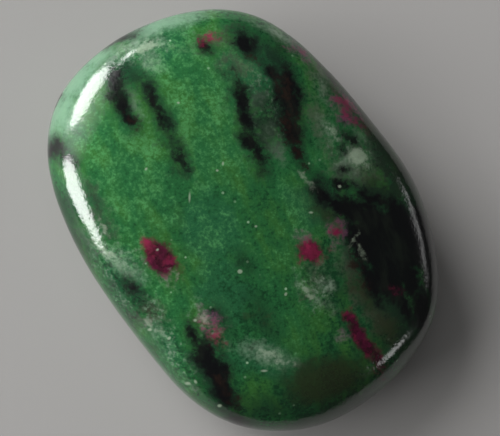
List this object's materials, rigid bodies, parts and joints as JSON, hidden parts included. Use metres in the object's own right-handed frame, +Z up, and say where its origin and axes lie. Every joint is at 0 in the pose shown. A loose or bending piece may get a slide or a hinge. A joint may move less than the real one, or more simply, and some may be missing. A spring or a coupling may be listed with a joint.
{
  "type": "polished stone pebble",
  "caption": "Flat oval tumble-polished pebble of green zoisite with black streaks and ruby crystals, held in the hand or shown on a shelf.",
  "frame": {"origin": "on the surface that the stone lies on, under the middle of its length and breadth", "axes": "+X along the stone's length towards its blunt end, +Z up out of the broad face that is seen, +Y across the breadth"},
  "size_m": [0.0402, 0.029, 0.012],
  "materials": {
    "stone": "tumble-polished: grass green with black streaks and patches, crimson crystals with pink rims and pale grey-green clouds"
  },
  "bodies": {
    "root": {"ruby_zoisite_stone": "stone"}
  },
  "joints": []
}
